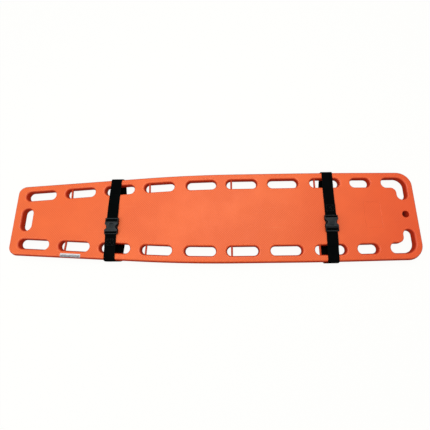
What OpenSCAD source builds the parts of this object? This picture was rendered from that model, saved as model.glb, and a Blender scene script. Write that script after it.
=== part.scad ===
// Spine board: a hollow moulded board with a foam core, handholds along its
// rails, clip pins across eight of them, two runners underneath that lift the
// rails clear of the ground, and two webbing straps that are wrapped round it
// and closed with side-release buckles.
// Frame: X along the board (+X is the head end), Y across, Z up.
// Origin: middle of the footprint, on the surface that the board lies on.

/* [Board] */
// Overall length of the board
board_l = 1858; // [1848:2:1868]
// Width of the board at its widest
board_w = 421; // [419:1:425]
// Overall thickness of the board, runners included
board_t = 54; // [50:1:60]
// Thickness of the board without its runners
rail_t = 28; // [26:1:30]
// Wall thickness of the moulded shell
wall = 4; // [3:0.5:4.5]
// Radius of the two corners at the foot end
foot_r = 40; // [32:1:44]
// Radius of the two corners at the head end
head_r = 70; // [60:1:74]
// Depth of the shallow rectangle moulded into the head end of the top face
panel_depth = 0.8; // [0.4:0.1:1.5]

/* [Handholds] */
// Length of a long side handhold
slot_l = 139; // [134:1:141]
// Width of a side handhold
slot_w = 44; // [40:1:48]
// Length of the short side handhold nearest the head corner
short_slot_l = 92; // [80:1:96]
// Distance of a handhold's centre line from the board's edge
slot_inset = 53.5; // [52:0.5:55]
// Length of the handhold across the foot end
foot_slot_l = 103; // [90:1:115]
// Width of the handhold across the foot end
foot_slot_w = 48; // [44:1:52]
// Width of the L-shaped corner handholds
corner_w = 46; // [42:1:48]
// Diameter of the hole through the head end
hole_d = 30; // [24:1:34]

/* [Clip pins] */
// Diameter of a clip pin
pin_d = 8.5; // [7:0.5:10]

/* [Runners] */
// Width of a runner
run_w = 40; // [34:1:44]
// Distance of a runner's centre line from the board's edge
run_inset = 112; // [110:1:120]
// Radius of the boss round the hole
boss_r = 25; // [23:1:30]

/* [Straps] */
// Width of the webbing
web_w = 50; // [46:1:50]
// Thickness of the webbing
web_t = 1.8; // [1.5:0.1:1.9]
// Clearance between the webbing and the board
web_gap = 0.3; // [0.3:0.1:0.5]
// Where the foot strap lies along the board
foot_strap_x = -462; // [-470:1:-460]
// Where the head strap lies along the board
head_strap_x = 530.5; // [525:0.5:535]
// How far the foot buckle's mouth is from the centre line
foot_mouth_y = -21.5; // [-30:0.5:0]
// How far the head buckle's mouth is from the centre line
head_mouth_y = -55.5; // [-60:0.5:-40]

/* [Buckles] */
// Width of a buckle
buckle_w = 59; // [57:0.5:62]
// Height of a buckle
buckle_h = 13; // [13:0.5:15]
// Depth of the finger cut-outs in the sides of the socket's upper plate
waist = 12; // [9:0.5:13]
// Depth of the waist in each side of the socket's lower plate
base_waist = 4; // [3:0.5:8]

/* [Hidden] */

z0 = web_t + web_gap;          // underside of the board
zt = z0 + board_t;             // top face of the board
zr = zt - rail_t;              // underside of the rails
zb = zt + web_gap + web_t + 0.4; // underside of a buckle
hl = board_l/2;
wm = board_w/2;
shell_c = [0.95, 0.40, 0.21];
pin_c = [0.80, 0.32, 0.16];
web_c = [0.03, 0.035, 0.04];
buckle_c = [0.10, 0.12, 0.14];
label_c = [0.88, 0.88, 0.90];

// The side runs straight from the foot, bends gently amidships and runs
// almost parallel to the head.
taper = 0.0605;  // slope of the side at the foot
bend_a = -330;   // where the bend starts
bend_b = 100;    // where it ends
head_a = 350;    // where the head end starts to narrow
head_b = 650;
head_s = 0.014;  // slope of the side at the head
function side(x) =
  x < bend_a ? wm - 0.5*taper*(bend_b-bend_a) - taper*(bend_a-x) :
  x < bend_b ? wm - 0.5*taper/(bend_b-bend_a)*pow(bend_b-x, 2) :
  x < head_a ? wm :
  x < head_b ? wm - 0.5*head_s/(head_b-head_a)*pow(x-head_a, 2) :
  wm - 0.5*head_s*(head_b-head_a) - head_s*(x-head_b);
// Angle of the side at x
function lean(x) = atan((side(x+1)-side(x-1))/2);
function arc_pts(cx, cy, r, a0, a1, n) =
  [for (i=[0:n]) let(a=a0+(a1-a0)*i/n) [cx+r*cos(a), cy+r*sin(a)]];
stations = [-330,-285,-240,-195,-150,-105,-60,-15,35,100,350,425,500,575,650];

module outline(e=0) {
  xa = -hl+e; xb = hl-e; ra = foot_r-e; rb = head_r-e;
  up = concat(
    arc_pts(xa+ra, side(xa+ra)-e-ra, ra, 180, 93.5, 9),
    [for (x=stations) [x, side(x)-e]],
    arc_pts(xb-rb, side(xb-rb)-e-rb, rb, 89.2, 0, 12));
  polygon(concat(up, [for (i=[len(up)-1:-1:0]) [up[i][0], -up[i][1]]]));
}

// Handhold centres along the board, foot to head
slot_x = [-815, -629.5, -445, -257.5, -59.5, 130.3, 324.9, 520.5, 685];
slot_extra = [0, 0, 0, 3, 3, 6, 3, 0, 0];  // those amidships are a little longer
function slot_len(i) = i == 8 ? short_slot_l : slot_l + slot_extra[i];
module stadium(l, w, g=0) {
  square([l-w, w+2*g], center=true);
  for (s=[-1,1]) translate([s*(l-w)/2, 0]) circle(r=w/2+g, $fn=48);
}
module corner_shape(g=0) {
  // L-shaped opening whose outer corner follows the board's corner
  xo = 895.5; yo = 175.5; w = corner_w; r = w/2; ro = 45; ri = 27;
  xc = xo-r; yc = yo-r;
  translate([807.5, yc]) circle(r=r+g, $fn=48);
  translate([807.5, yc-r-g]) square([xo-ro-807.5, w+2*g]);
  translate([xc, 93.5]) circle(r=r+g, $fn=48);
  translate([xc-r-g, 93.5]) square([w+2*g, yo-ro-93.5]);
  intersection() {
    translate([xo-ro, yo-ro]) circle(r=ro+g, $fn=64);
    translate([xo-ro-0.01, yo-ro-0.01]) square(ro+g+1);
  }
  difference() {
    translate([xo-w-ri, yo-w-ri]) square(ri+0.01);
    translate([xo-w-ri, yo-w-ri]) circle(r=ri-g, $fn=48);
  }
}
module openings_2d(g=0) {
  for (s=[-1,1]) for (i=[0:8])
    translate([slot_x[i], s*(side(slot_x[i])-slot_inset)]) rotate(s*lean(slot_x[i]))
      stadium(slot_len(i), slot_w, g);
  translate([-864.5, 0]) rotate(90) stadium(foot_slot_l, foot_slot_w, g);
  corner_shape(g);
  mirror([0, 1]) corner_shape(g);
}

// Clip pins: x on the board, handhold index
pin_x = [-674.5, -305.5, 82, 475.5];
pin_slot = [1, 3, 5, 7];
pin_len = slot_w + 2*(wall-0.5);
module pin_at(k, s) {
  i = pin_slot[k];
  a = lean(slot_x[i]);
  translate([pin_x[k], s*(side(slot_x[i])-slot_inset + (pin_x[k]-slot_x[i])*tan(a)), zt-rail_t/2])
    rotate([0, 0, s*a]) rotate([90, 0, 0]) cylinder(d=pin_d, h=pin_len, center=true, $fn=32);
}

// Runners under the board, inboard of the handholds
run_x = [-748, -560, -330, -240, -150, -60, 35, 100, 350, 500, 650, 728];
function run_y(x) = side(x) - run_inset;
module runner_2d(e=0) {
  r = run_w/2-e; n = len(run_x)-1;
  polygon(concat(
    [for (i=[0:n]) [run_x[i], run_y(run_x[i])+r]],
    arc_pts(run_x[n], run_y(run_x[n]), r, 80, -80, 12),
    [for (i=[n:-1:0]) [run_x[i], run_y(run_x[i])-r]],
    arc_pts(run_x[0], run_y(run_x[0]), r, -100, -260, 12)));
}

module core_solid() {
  difference() {
    union() {
      translate([0, 0, zr+wall]) linear_extrude(height=rail_t-2*wall) outline(wall+6);
      for (s=[0, 1]) mirror([0, s, 0])
        translate([0, 0, z0+wall]) linear_extrude(height=zr-z0+1) runner_2d(wall+2.5);
    }
    translate([0, 0, zr]) linear_extrude(height=rail_t) openings_2d(wall);
    translate([872.5, 0, z0-1]) cylinder(r=boss_r, h=board_t+2, $fn=64);
  }
}

module board_shell() color(shell_c) difference() {
  union() {
    hull() {
      translate([0, 0, zt-rail_t/2-2]) linear_extrude(height=4) outline(0);
      translate([0, 0, zr+7]) linear_extrude(height=rail_t-14) outline(2.5);
      translate([0, 0, zr+2.5]) linear_extrude(height=rail_t-5) outline(6);
      translate([0, 0, zr]) linear_extrude(height=rail_t) outline(11.5);
    }
    // boss that carries the hole down to the level of the runners
    translate([872.5, 0, z0]) cylinder(r=boss_r, h=board_t-4, $fn=64);
    for (s=[0, 1]) mirror([0, s, 0]) {
      translate([0, 0, z0]) linear_extrude(height=5) runner_2d(4);
      translate([0, 0, z0+3]) linear_extrude(height=8) runner_2d(1.5);
      translate([0, 0, z0+8]) linear_extrude(height=zr-z0-6) runner_2d(0);
    }
  }
  translate([0, 0, zr-1]) linear_extrude(height=rail_t+2) openings_2d(0);
  translate([872.5, 0, z0-1]) cylinder(d=hole_d, h=board_t+2, $fn=64);
  translate([725, 0, zt-panel_depth+5]) cube([76, 122, 10], center=true);
  for (s=[-1,1]) for (k=[0:3]) pin_at(k, s);
  core_solid();
}
module foam_core() color([0.93, 0.90, 0.78]) core_solid();

module clip_pin(k, s) color(pin_c) pin_at(k, s);

module rail_label() color(label_c) {
  // A thin label folded over the rounded edge of the near rail
  xl = -641; a = lean(xl); c = cos(a); t = 0.35;
  translate([xl, -side(xl), 0]) rotate([0, 0, -a]) rotate([90, 0, 90])
    linear_extrude(height=92, center=true) translate([-0.04, 0.04]) polygon([
      [21, zt], [11.5*c, zt], [6*c, zt-2.5], [4.25*c, zt-4.75],
      [4.25*c-t, zt-4.75], [6*c-t, zt-2.5+0.2], [11.5*c-0.15, zt+t], [21, zt+t]]);
}

// Closed line round six circles [y, z, radius], each grown by t, as tight webbing runs
function turn(a, b) = atan2(b[1]-a[1], b[0]-a[0]) - 90
  + asin((a[2]-b[2])/norm([b[0]-a[0], b[1]-a[1]]));
module round_line(k, t) {
  n = len(k);
  polygon([for (i=[0:n-1]) let(
      a0 = turn(k[(i+n-1)%n], k[i]),
      da = (turn(k[i], k[(i+1)%n]) - a0 + 720) % 360)
    for (p=arc_pts(k[i][0], k[i][1], k[i][2]+t, a0, a0+da, 8)) p]);
}

bar_r = 2.2;      // bar of the socket
bar_y = -46.2;    // its place from the mouth
bar_z = 4.4;      // its height in the buckle
mid_y = 10;       // middle bar of the plug
mid_z = 6.5;
mid_r = 2.2;
end_y = 18.4;     // end bar of the plug
end_z = 5;
end_r = 2.5;

// Webbing wrapped round the board: xc is its place along the board, hw and rw the
// half widths of the rails and of the runners that it wraps, ym the buckle's mouth,
// d +1 where the plug is on the +Y side
module webbing(xc, hw, rw, ym, d) color(web_c) {
  k = [[rw-5, web_t+5, 5], [hw-10, zr-web_gap+10, 10], [hw-10, zt+web_gap-10, 10],
    [10-hw, zt+web_gap-10, 10], [10-hw, zr-web_gap+10, 10], [5-rw, web_t+5, 5]];
  fy = ym + d*bar_y;
  my = ym + d*mid_y;
  translate([xc, 0, 0]) rotate([90, 0, 90]) linear_extrude(height=web_w, center=true) {
    difference() {
      round_line(k, web_t);
      round_line(k, 0);
      translate([min(fy, my), zt-5]) square([abs(fy-my), 20]);
    }
    // end folded round the socket's bar and sewn back on itself
    difference() {
      union() {
        translate([fy, zb+bar_z]) circle(r=bar_r+0.3+web_t, $fn=48);
        translate([d > 0 ? fy-60 : fy, zt+web_gap+web_t-0.01]) square([60, web_t+0.01]);
      }
      translate([fy, zb+bar_z]) circle(r=bar_r+0.3, $fn=48);
    }
  }
}

module place(xc, ym, d) translate([xc, ym, zb]) rotate([0, 0, d > 0 ? 0 : 180]) children();

bw = buckle_w/2;
plate_t = 2.6;
function waist_x(y, w) = y > -6 || y < -36 ? bw : bw - w*pow(sin(180*(-y-6)/30), 2);
module socket_plate(w) {
  right = concat([[bw-1.5, 0], [bw, -1.5]],
    [for (i=[0:20]) let(y=-6-i*1.5) [waist_x(y, w), y]], [[bw, -40.5], [bw-1.5, -42]]);
  polygon(concat(right, [for (i=[len(right)-1:-1:0]) [-right[i][0], right[i][1]]]));
}
module socket() color(buckle_c) {
  difference() {
    union() {
      linear_extrude(height=plate_t) socket_plate(base_waist);
      translate([0, 0, buckle_h-plate_t]) linear_extrude(height=plate_t) socket_plate(waist);
      // closed rear end
      translate([-bw+0.5, -41.5, plate_t-0.5]) cube([2*bw-1, 5, buckle_h-2*plate_t+1]);
      // catches beside the mouth
      for (s=[0, 1]) mirror([s, 0, 0]) translate([0, 0, plate_t-0.5])
        linear_extrude(height=buckle_h-2*plate_t+1)
          polygon([[bw-0.5, -0.2], [21, -0.2], [22, -6], [bw-0.5, -6]]);
      // lugs of the webbing bar, joined behind it by a crosspiece over the webbing
      for (s=[0, 1]) mirror([s, 0, 0]) translate([bw-3, -53.2, 1]) cube([3, 13.2, 9.2]);
      translate([0.5-bw, -53.2, 7.2]) cube([2*bw-1, 2.4, 2.8]);
      translate([0, bar_y, bar_z]) rotate([0, 90, 0]) cylinder(r=bar_r, h=2*bw-2, center=true, $fn=32);
    }
    // window along the middle of the top plate
    translate([-9, -6.5, buckle_h-1]) cube([18, 2, 2]);
  }
}

pivot_x = 17.5;
pivot_y = 2.8;
module plug() color(buckle_c) {
  difference() {
    translate([-bw, 0.3, 0.4]) cube([2*bw, 4.9, buckle_h-0.8]);
    for (s=[-1, 1]) {
      translate([s*pivot_x, pivot_y, -1]) cylinder(r=2.0, h=buckle_h+2, $fn=32);
      translate([s*pivot_x-2.2, 0, -1]) cube([4.4, pivot_y, buckle_h+2]);
    }
  }
  // centre tongue
  translate([-6, -22, plate_t+0.3]) cube([12, 23, buckle_h-2*plate_t-0.6]);
  // side rails and the two bars of the webbing adjuster
  for (s=[0, 1]) mirror([s, 0, 0]) translate([bw-3, 5, 2]) cube([3, 16, 8.5]);
  translate([0, mid_y, mid_z]) rotate([0, 90, 0]) cylinder(r=mid_r, h=2*bw-2, center=true, $fn=32);
  translate([0, end_y, end_z]) rotate([0, 90, 0]) cylinder(r=end_r, h=2*bw-2, center=true, $fn=32);
}

// Outer face of an arm at y, measured from the mouth
function arm_o(y) = y > -21 ? 19.3 + 4.2*pow(sin(180*(-y)/42), 2) : 23.5 - 7.5*pow((-21-y)/14, 2);
function arm_t(y) = 3.2 + 1.6*pow(sin(180*(-y)/42), 2);
module arm(s) color(buckle_c) {
  ys = [for (i=[0:17]) -1-i*2];
  h = buckle_h-2*plate_t-0.6;
  mirror([s > 0 ? 0 : 1, 0, 0]) translate([0, 0, plate_t+0.3]) union() {
    linear_extrude(height=h) polygon(concat(
      [for (y=ys) [arm_o(y), y]],
      [for (i=[len(ys)-1:-1:0]) [arm_o(ys[i])-arm_t(ys[i]), ys[i]]]));
    // narrow neck and the round root that turns in the plug
    translate([pivot_x-1.2, -3, 0.2]) cube([2.4, pivot_y+3, h-0.4]);
    translate([pivot_x, pivot_y, 0.4]) cylinder(r=1.7, h=h-0.8, $fn=32);
  }
}

module web_fold() color(web_c)
  translate([0, mid_y, mid_z]) rotate([0, 90, 0]) difference() {
    cylinder(r=mid_r+0.3+web_t, h=web_w, center=true, $fn=48);
    cylinder(r=mid_r+0.3, h=web_w+2, center=true, $fn=48);
  }

foot_hw = side(foot_strap_x+web_w/2) + web_gap;
foot_rw = run_y(foot_strap_x+web_w/2) + run_w/2 + web_gap;
head_hw = wm + web_gap;
head_rw = wm - run_inset + run_w/2 + web_gap;

board_shell();
foam_core();
clip_pin(0, -1);  // clip_pin_r2
clip_pin(1, -1);  // clip_pin_r4
clip_pin(2, -1);  // clip_pin_r6
clip_pin(3, -1);  // clip_pin_r8
clip_pin(0, 1);  // clip_pin_l2
clip_pin(1, 1);  // clip_pin_l4
clip_pin(2, 1);  // clip_pin_l6
clip_pin(3, 1);  // clip_pin_l8
rail_label();
webbing(foot_strap_x, foot_hw, foot_rw, foot_mouth_y, 1);  // foot_webbing
place(foot_strap_x, foot_mouth_y, 1) socket();  // foot_socket
place(foot_strap_x, foot_mouth_y, 1) plug();  // foot_plug
place(foot_strap_x, foot_mouth_y, 1) arm(1);  // foot_arm_a
place(foot_strap_x, foot_mouth_y, 1) arm(-1);  // foot_arm_b
place(foot_strap_x, foot_mouth_y, 1) web_fold();  // foot_web_fold
webbing(head_strap_x, head_hw, head_rw, head_mouth_y, -1);  // head_webbing
place(head_strap_x, head_mouth_y, -1) socket();  // head_socket
place(head_strap_x, head_mouth_y, -1) plug();  // head_plug
place(head_strap_x, head_mouth_y, -1) arm(1);  // head_arm_a
place(head_strap_x, head_mouth_y, -1) arm(-1);  // head_arm_b
place(head_strap_x, head_mouth_y, -1) web_fold();  // head_web_fold
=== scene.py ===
import math

import bpy
import numpy as np
from mathutils import Matrix, Vector
from mathutils.geometry import delaunay_2d_cdt


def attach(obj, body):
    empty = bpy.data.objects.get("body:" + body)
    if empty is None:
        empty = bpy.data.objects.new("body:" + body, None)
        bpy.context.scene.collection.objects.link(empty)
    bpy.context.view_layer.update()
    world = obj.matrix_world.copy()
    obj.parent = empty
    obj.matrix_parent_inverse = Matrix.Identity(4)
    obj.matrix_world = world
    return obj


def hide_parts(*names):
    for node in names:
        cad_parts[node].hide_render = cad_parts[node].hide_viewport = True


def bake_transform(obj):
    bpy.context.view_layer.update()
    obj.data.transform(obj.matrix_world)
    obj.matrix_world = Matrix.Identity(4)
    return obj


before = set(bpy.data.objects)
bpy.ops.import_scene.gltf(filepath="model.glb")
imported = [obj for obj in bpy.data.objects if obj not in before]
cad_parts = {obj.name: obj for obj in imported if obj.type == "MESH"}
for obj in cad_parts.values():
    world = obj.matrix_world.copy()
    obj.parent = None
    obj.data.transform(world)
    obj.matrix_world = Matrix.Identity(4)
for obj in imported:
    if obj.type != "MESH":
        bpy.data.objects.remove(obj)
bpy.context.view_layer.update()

# ---------------------------------------------------------------- numbers, in millimetres
BOARD_T, RAIL_T = 54.0, 28.0
WEB_T, WEB_GAP, WEB_W = 1.8, 0.3, 50.0
Z0 = WEB_T + WEB_GAP
ZT = Z0 + BOARD_T
ZR = ZT - RAIL_T
ZM = ZT - RAIL_T / 2
ZB = ZT + WEB_GAP + WEB_T + 0.4
HL, WM = 929.0, 210.5
FOOT_R, HEAD_R = 40.0, 70.0
SLOT_X = [-815, -629.5, -445, -257.5, -59.5, 130.3, 324.9, 520.5, 685]
SLOT_L = [139, 139, 139, 142, 142, 145, 142, 139, 92]
SLOT_W, SLOT_INSET = 44.0, 53.5
RUN_W, RUN_INSET = 40.0, 112.0
STRAPS = {
    "foot": dict(x=-462.0, mouth=-21.5, d=1),
    "head": dict(x=530.5, mouth=-55.5, d=-1),
}
BW = 29.5
BH = 13.0


def side(x):
    if x < -330:
        return WM - 0.5 * 0.0605 * 430 - 0.0605 * (-330 - x)
    if x < 100:
        return WM - 0.5 * 0.0605 / 430 * (100 - x) ** 2
    if x < 350:
        return WM
    if x < 650:
        return WM - 0.5 * 0.014 / 300 * (x - 350) ** 2
    return WM - 0.5 * 0.014 * 300 - 0.014 * (x - 650)


def lean(x):
    return math.atan((side(x + 1) - side(x - 1)) / 2)


def arc(cx, cy, r, a0, a1, n):
    a = np.radians(np.linspace(a0, a1, n + 1))
    return np.c_[cx + r * np.cos(a), cy + r * np.sin(a)]


def resample(p, step):
    """Closed curve p as evenly spaced points."""
    q = np.vstack([p, p[:1]])
    s = np.r_[0, np.cumsum(np.linalg.norm(np.diff(q, axis=0), axis=1))]
    keep = np.r_[True, np.diff(s) > 1e-9]
    q, s = q[keep], s[keep]
    n = max(12, int(round(s[-1] / step)))
    t = np.linspace(0, s[-1], n, endpoint=False)
    return np.c_[np.interp(t, s, q[:, 0]), np.interp(t, s, q[:, 1])]


def ccw(p):
    x, y = p[:, 0], p[:, 1]
    area = 0.5 * np.sum(x * np.roll(y, -1) - np.roll(x, -1) * y)
    return p if area > 0 else p[::-1]


def normals2(p):
    """Outward normals of a counter-clockwise closed curve."""
    d = np.roll(p, -1, axis=0) - np.roll(p, 1, axis=0)
    d /= np.linalg.norm(d, axis=1)[:, None]
    return np.c_[d[:, 1], -d[:, 0]]


def inside(pts, poly):
    x, y = pts[:, 0][:, None], pts[:, 1][:, None]
    x0, y0 = poly[:, 0][None], poly[:, 1][None]
    x1, y1 = np.roll(poly[:, 0], -1)[None], np.roll(poly[:, 1], -1)[None]
    hit = ((y0 > y) != (y1 > y)) & (x < (x1 - x0) * (y - y0) / (y1 - y0 + 1e-12) + x0)
    return hit.sum(1) % 2 == 1


class Build:
    """Gathers vertices, faces and per-vertex marks, then makes one mesh."""

    def __init__(self):
        self.v, self.f, self.marks, self.uv = [], [], [], []
        self.n = 0

    def add(self, pts, mark=(0.0, 0.0), uv=None):
        pts = np.asarray(pts, float)
        self.v.append(pts)
        m = np.asarray(mark, float)
        self.marks.append(np.tile(m, (len(pts), 1)) if m.ndim == 1 else m)
        self.uv.append(np.zeros((len(pts), 2)) if uv is None else np.asarray(uv, float))
        first = self.n
        self.n += len(pts)
        return first

    def rings(self, rings, marks=None, flip=False, closed=True, uvs=None):
        """Skin over rings of the same number of points. Returns the first index of each."""
        idx = [
            self.add(r, (0.0, 0.0) if marks is None else marks[k], None if uvs is None else uvs[k])
            for k, r in enumerate(rings)
        ]
        n = len(rings[0])
        for a, b in zip(idx[:-1], idx[1:]):
            for i in range(n if closed else n - 1):
                j = (i + 1) % n
                q = (a + i, a + j, b + j, b + i)
                self.f.append(q[::-1] if flip else q)
        return idx

    def fan(self, first, n, flip=False):
        """A cap over ring `first`, which has to be star shaped about its middle."""
        ring = np.vstack(self.v)[first : first + n]
        marks = np.vstack(self.marks)[first]
        uv = np.vstack(self.uv)[first : first + n].mean(0)[None]
        c = self.add(ring.mean(0)[None], marks, uv)
        for i in range(n):
            q = (first + i, first + (i + 1) % n, c)
            self.f.append(q[::-1] if flip else q)

    def plane(self, outer, holes, z, up=True, mark=(0.0, 1.0)):
        """Flat face between a closed outer curve and holes. Each is (first index, 2-D points)."""
        pts, edges, ids = [], [], []
        for first, p in [outer, *holes]:
            base = len(pts)
            pts += [tuple(map(float, q)) for q in p]
            ids += [first + i for i in range(len(p))]
            edges += [(base + i, base + (i + 1) % len(p)) for i in range(len(p))]
        vs, _, faces, orig, _, _ = delaunay_2d_cdt([Vector(p) for p in pts], edges, [], 0, 1e-6)
        new = []
        for k, o in enumerate(orig):
            if o:
                new.append(ids[o[0]])
            else:
                new.append(self.add([[vs[k].x, vs[k].y, z]], mark))
        tri = np.array([list(f) for f in faces if len(f) == 3])
        xy = np.array([[q.x, q.y] for q in vs])
        mid = xy[tri].mean(1)
        keep = inside(mid, np.asarray(outer[1]))
        for _, p in holes:
            keep &= ~inside(mid, np.asarray(p))
        a, b, c = xy[tri[:, 0]], xy[tri[:, 1]], xy[tri[:, 2]]
        turn = (b - a)[:, 0] * (c - a)[:, 1] - (b - a)[:, 1] * (c - a)[:, 0]
        for t, k, w in zip(tri, keep, turn):
            if k and abs(w) > 1e-9:
                q = tuple(new[i] for i in t)
                self.f.append(q if (w > 0) == up else q[::-1])

    def make(self, name, mat, uv=False, shaded_mat=None):
        v = np.vstack(self.v) / 1000.0
        me = bpy.data.meshes.new(name)
        me.from_pydata([tuple(p) for p in v], [], self.f)
        me.update()
        me.polygons.foreach_set("use_smooth", [True] * len(me.polygons))
        marks = np.vstack(self.marks)
        # grain also keys painted shade: the deeper colour of walls and fillets and the darker buckle copy; negative
        # wear keys the painted shade in the step
        for k, label in enumerate(("wear", "grain")):
            at = me.attributes.new(label, "FLOAT", "POINT")
            at.data.foreach_set("value", marks[:, k].astype(np.float32))
        if uv:
            uvs = np.vstack(self.uv)
            layer = me.uv_layers.new(name="UVMap")
            loops = np.zeros(len(me.loops), np.int32)
            me.loops.foreach_get("vertex_index", loops)
            layer.data.foreach_set("uv", uvs[loops].astype(np.float32).ravel())
        me.materials.append(mat)
        if shaded_mat is not None:
            # faces without texture take the second, darker copy of the plastic: painted shade
            me.materials.append(shaded_mat)
            start = np.array([0] + list(np.cumsum([len(f) for f in self.f])))[:-1]
            flat = np.concatenate([np.asarray(f) for f in self.f])
            mean = np.add.reduceat(marks[flat, 1], start) / np.array([len(f) for f in self.f])
            me.polygons.foreach_set("material_index", (mean < 0.3).astype(np.int32))
        me.validate()
        o = bpy.data.objects.new(name, me)
        bpy.context.scene.collection.objects.link(o)
        return o


# ---------------------------------------------------------------- materials
def material(name):
    m = bpy.data.materials.new(name)
    m.use_nodes = True
    nt = m.node_tree
    nt.nodes.clear()
    out = nt.nodes.new("ShaderNodeOutputMaterial")
    sh = nt.nodes.new("ShaderNodeBsdfPrincipled")
    nt.links.new(sh.outputs[0], out.inputs[0])
    return m, nt, sh


def put(nt, kind, values=None, **props):
    n = nt.nodes.new(kind)
    for k, v in props.items():
        setattr(n, k, v)
    for k, v in (values or {}).items():
        if isinstance(v, bpy.types.NodeSocket):
            nt.links.new(v, n.inputs[k])
        else:
            n.inputs[k].default_value = v
    return n


def calc(nt, op, a, b=0.0, c=None, clamp=False):
    vals = {0: a, 1: b}
    if c is not None:
        vals[2] = c
    return put(nt, "ShaderNodeMath", vals, operation=op, use_clamp=clamp).outputs[0]


def mixc(nt, f, a, b, blend="MIX"):
    n = nt.nodes.new("ShaderNodeMix")
    n.data_type = "RGBA"
    n.blend_type = blend
    for k, v in ((0, f), (6, a), (7, b)):
        if isinstance(v, bpy.types.NodeSocket):
            nt.links.new(v, n.inputs[k])
        else:
            n.inputs[k].default_value = v if k == 0 else (*v, 1.0)
    return n.outputs[2]


def noise(nt, vec, scale, detail=3.0, rough=0.55, distort=0.0):
    return put(
        nt, "ShaderNodeTexNoise",
        {"Vector": vec, "Scale": scale, "Detail": detail, "Roughness": rough, "Distortion": distort},
    ).outputs[0]


def span(nt, x, a, b, lo=0.0, hi=1.0):
    return put(nt, "ShaderNodeMapRange", {0: x, 1: a, 2: b, 3: lo, 4: hi}).outputs[0]


def attr(nt, name):
    return put(nt, "ShaderNodeAttribute", attribute_name=name).outputs["Fac"]


def coords(nt, scale=None):
    o = put(nt, "ShaderNodeTexCoord").outputs["Object"]
    if scale is None:
        return o
    return put(nt, "ShaderNodeMapping", {0: o, 3: scale}).outputs[0]


def orange_plastic():
    m, nt, sh = material("orange_shell")
    p = coords(nt)
    wear, grain = attr(nt, "wear"), attr(nt, "grain")
    big = noise(nt, p, 1.7, 2.0)
    cloud = noise(nt, p, 14.0, 4.0)
    base = mixc(nt, span(nt, big, 0.3, 0.7), ORANGE_A, ORANGE_B)
    base = mixc(nt, span(nt, cloud, 0.35, 0.75, 0.0, 0.35), base, ORANGE_C)
    # painted shade: the hollows of the moulded stipple are painted darker
    # the stipple is laid out in diagonal rows 7.4 mm apart
    xyz = put(nt, "ShaderNodeSeparateXYZ", {0: p}).outputs
    warp = calc(nt, "MULTIPLY", calc(nt, "SUBTRACT", noise(nt, p, 60.0, 2.0), 0.5), 1.6)
    ux = calc(nt, "COSINE", calc(nt, "ADD", calc(nt, "MULTIPLY", xyz[0], 2 * math.pi / 0.0105), warp))
    uy = calc(nt, "COSINE", calc(nt, "SUBTRACT", calc(nt, "MULTIPLY", xyz[1], 2 * math.pi / 0.0105), warp))
    pits = span(nt, calc(nt, "MULTIPLY", ux, uy), 0.45, -0.25)
    patchy = span(nt, noise(nt, p, 7.0, 2.0, 0.6), 0.36, 0.62, 0.35, 1.0)
    pit_shade = calc(nt, "MULTIPLY", calc(nt, "MULTIPLY", pits, grain), patchy)
    base = mixc(nt, calc(nt, "MULTIPLY", pit_shade, 0.52), base, ORANGE_PIT_SHADE)
    # painted shade: the colour darkens towards the head end, where the light falls off
    base = mixc(nt, span(nt, xyz[0], 0.30, 0.90), base, mixc(nt, 1.0, base, (1.0, 0.76, 0.80), "MULTIPLY"))
    # fine scuffs along and across the board, where people lie and buckles drag
    s1 = noise(nt, coords(nt, (6.0, 260.0, 20.0)), 1.0, 3.0)
    s2 = noise(nt, coords(nt, (190.0, 5.0, 20.0)), 1.0, 3.0)
    lines = calc(nt, "ADD", span(nt, s1, 0.66, 0.72), span(nt, s2, 0.68, 0.74), clamp=True)
    patch = span(nt, noise(nt, p, 5.0, 3.0), 0.52, 0.7)
    scuff = calc(nt, "MULTIPLY", lines, patch)
    base = mixc(nt, calc(nt, "MULTIPLY", scuff, 0.22), base, (0.90, 0.34, 0.17))
    # rubbed edges, paler and rougher
    rub = calc(nt, "MULTIPLY", calc(nt, "MAXIMUM", wear, 0.0), span(nt, noise(nt, p, 60.0, 5.0, 0.65), 0.42, 0.66))
    base = mixc(nt, calc(nt, "MULTIPLY", rub, 0.30), base, (0.93, 0.30, 0.14))
    # painted shade: the openings' walls and fillets and the board's sides, where the stipple is absent, are painted a
    # deeper colour than the stippled faces
    base = mixc(nt, span(nt, grain, 0.62, 0.28, 0.0, 0.95), base, ORANGE_WALL_SHADE)
    # painted shade: a dark line in the step round the moulded rectangle
    base = mixc(nt, calc(nt, "MULTIPLY", calc(nt, "MAXIMUM", calc(nt, "MULTIPLY", wear, -1.0), 0.0), 0.35), base, (0.30, 0.030, 0.008))
    nt.links.new(base, sh.inputs["Base Color"])
    r = calc(nt, "ADD", span(nt, cloud, 0.3, 0.7, 0.25, 0.33), calc(nt, "MULTIPLY", rub, 0.12))
    r = calc(nt, "ADD", r, span(nt, grain, 0.25, 0.95, 0.0, 0.23))
    r = calc(nt, "ADD", r, calc(nt, "MULTIPLY", scuff, 0.10))
    nt.links.new(r, sh.inputs["Roughness"])
    fine = noise(nt, p, 900.0, 2.0, 0.6)
    h = calc(nt, "ADD", calc(nt, "MULTIPLY", pits, calc(nt, "ADD", 0.10, calc(nt, "MULTIPLY", grain, 0.9))), calc(nt, "MULTIPLY", fine, 0.35))
    b1 = put(nt, "ShaderNodeBump", {"Strength": 0.5, "Distance": 0.0006, "Height": h})
    wave = noise(nt, p, 9.0, 2.0, 0.4)
    b2 = put(nt, "ShaderNodeBump", {"Strength": 0.25, "Distance": 0.0022, "Height": wave, "Normal": b1.outputs[0]})
    nt.links.new(b2.outputs[0], sh.inputs["Normal"])
    sh.inputs["Specular IOR Level"].default_value = 0.38
    return m


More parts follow.
